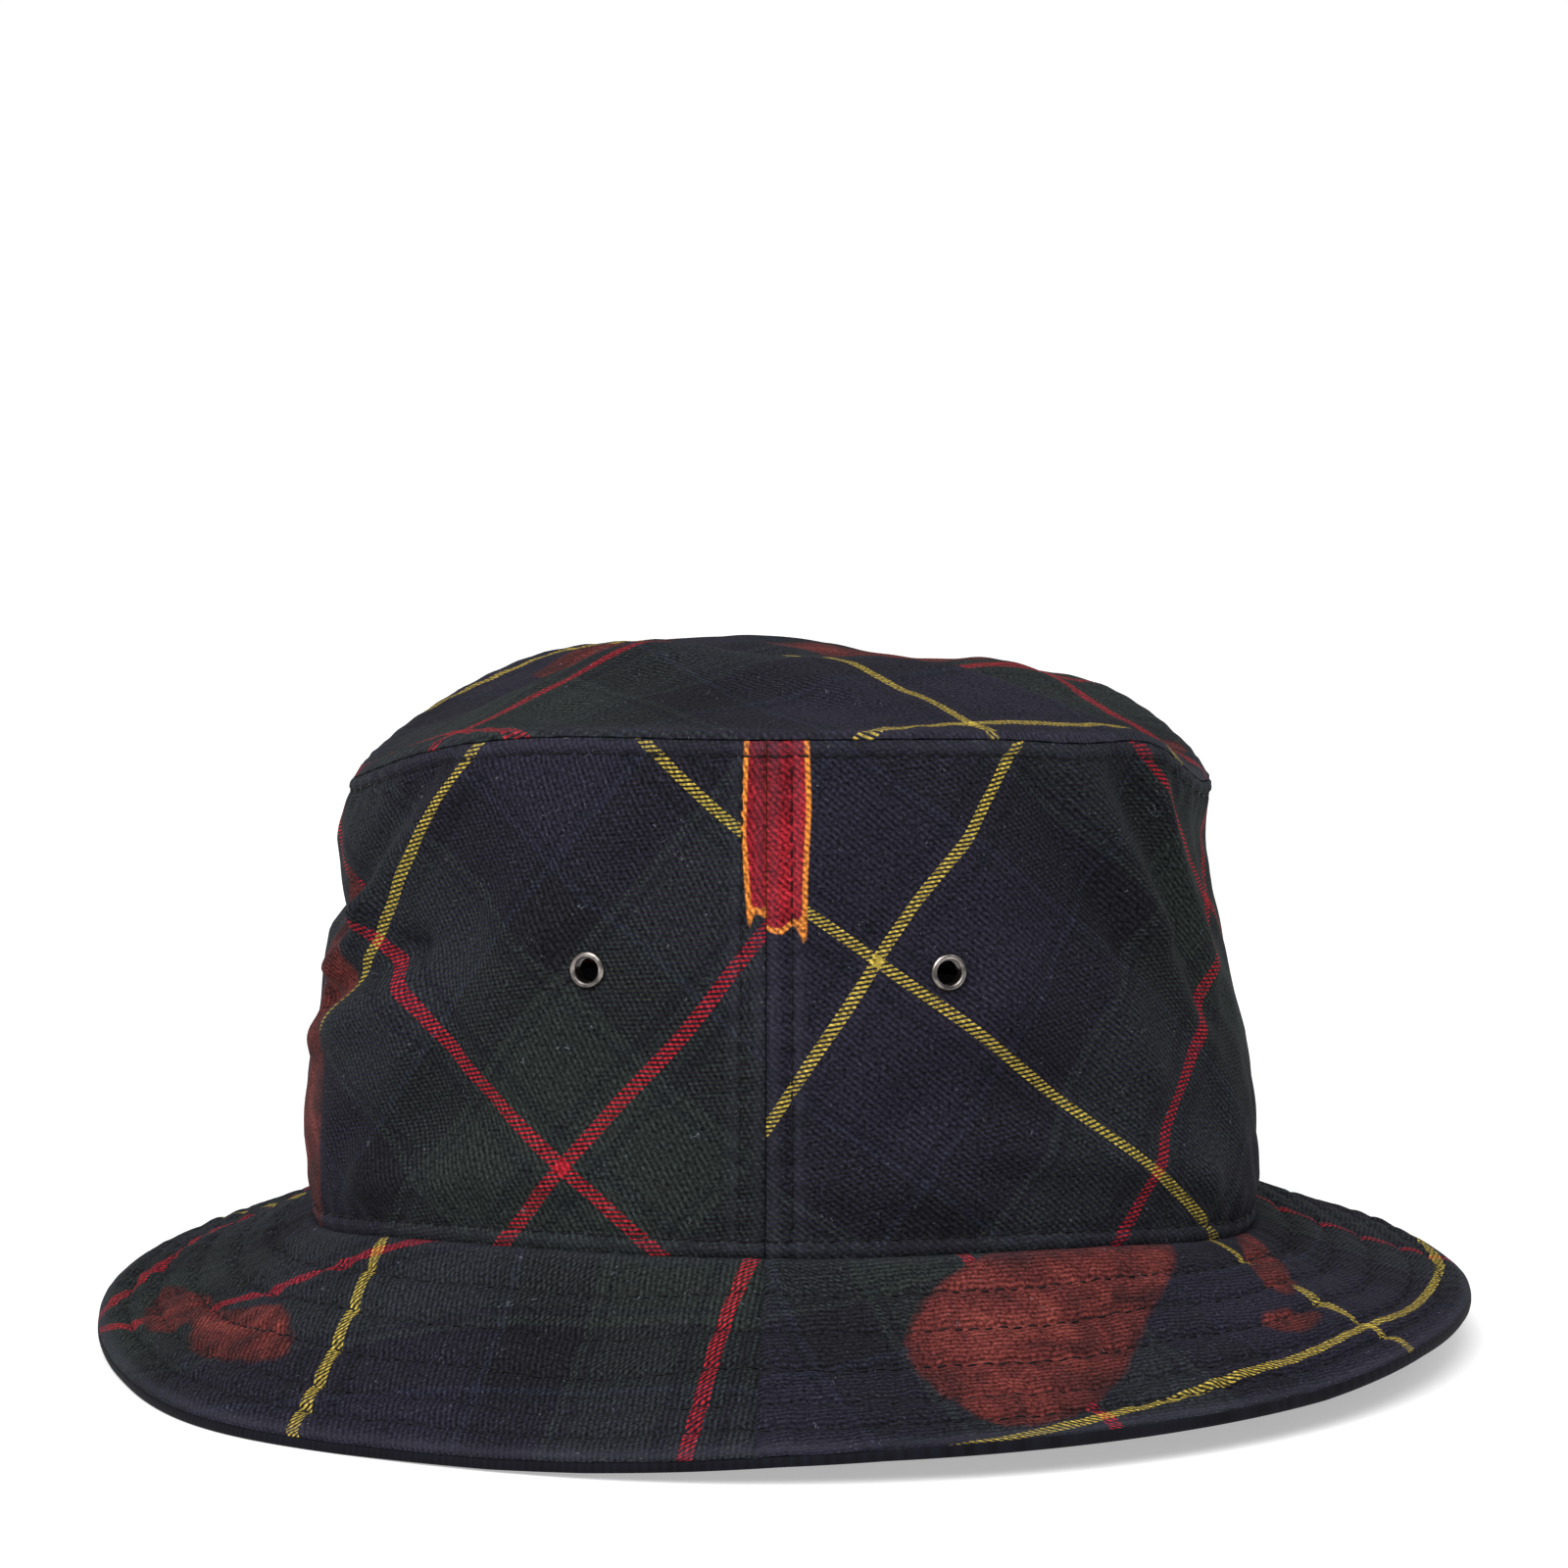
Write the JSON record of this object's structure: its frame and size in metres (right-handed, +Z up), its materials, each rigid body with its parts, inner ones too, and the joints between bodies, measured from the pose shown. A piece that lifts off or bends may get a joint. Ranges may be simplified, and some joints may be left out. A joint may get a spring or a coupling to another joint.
{
  "type": "bucket hat",
  "caption": "Soft bucket hat of checked cotton twill: oval tip, upright two-panel crown with vent eyelets, and a sloping brim with rows of stitching.",
  "frame": {"origin": "middle of the overall box, on the surface that the brim's edge rests on", "axes": "+X towards the hat's front, +Y towards its left side, +Z up"},
  "size_m": [0.287, 0.268, 0.1418],
  "materials": {
    "tartan_twill": "brushed cotton twill, woven check in navy, dark green and black with red and yellow lines",
    "navy_twill": "plain navy cotton twill",
    "interlining": "stiff unbleached cotton",
    "seam_tape": "matt woven tape",
    "eyelet_metal": "dark antique gunmetal, satin",
    "thread": "navy polyester thread",
    "label_cloth": "blank satin tape"
  },
  "bodies": {
    "hat": {"crown_tip": "tartan_twill", "crown_front_panel": "tartan_twill", "crown_back_panel": "tartan_twill", "brim_upper_front": "tartan_twill", "brim_upper_back": "tartan_twill", "brim_interlining_front": "interlining", "brim_interlining_back": "interlining", "brim_under_front": "navy_twill", "brim_under_back": "navy_twill", "sweatband": "navy_twill", "tip_seam_tape": "seam_tape", "side_seam_tape_right": "seam_tape", "side_seam_tape_left": "seam_tape", "eyelet_front_right": "eyelet_metal", "eyelet_back_right": "eyelet_metal", "eyelet_front_left": "eyelet_metal", "eyelet_back_left": "eyelet_metal", "washer_front_right": "eyelet_metal", "washer_back_right": "eyelet_metal", "washer_front_left": "eyelet_metal", "washer_back_left": "eyelet_metal", "crown_stitching": "thread", "brim_stitching": "thread", "care_label_margin": "label_cloth"},
    "label": {"care_label": "label_cloth"}
  },
  "joints": [
    {"name": "label_fold", "type": "hinge", "parent": "hat", "child": "label", "pos_m": [-0.09095, 0, 0.06], "axis": [0, -1, 0], "range_deg": [0, 165]}
  ]
}
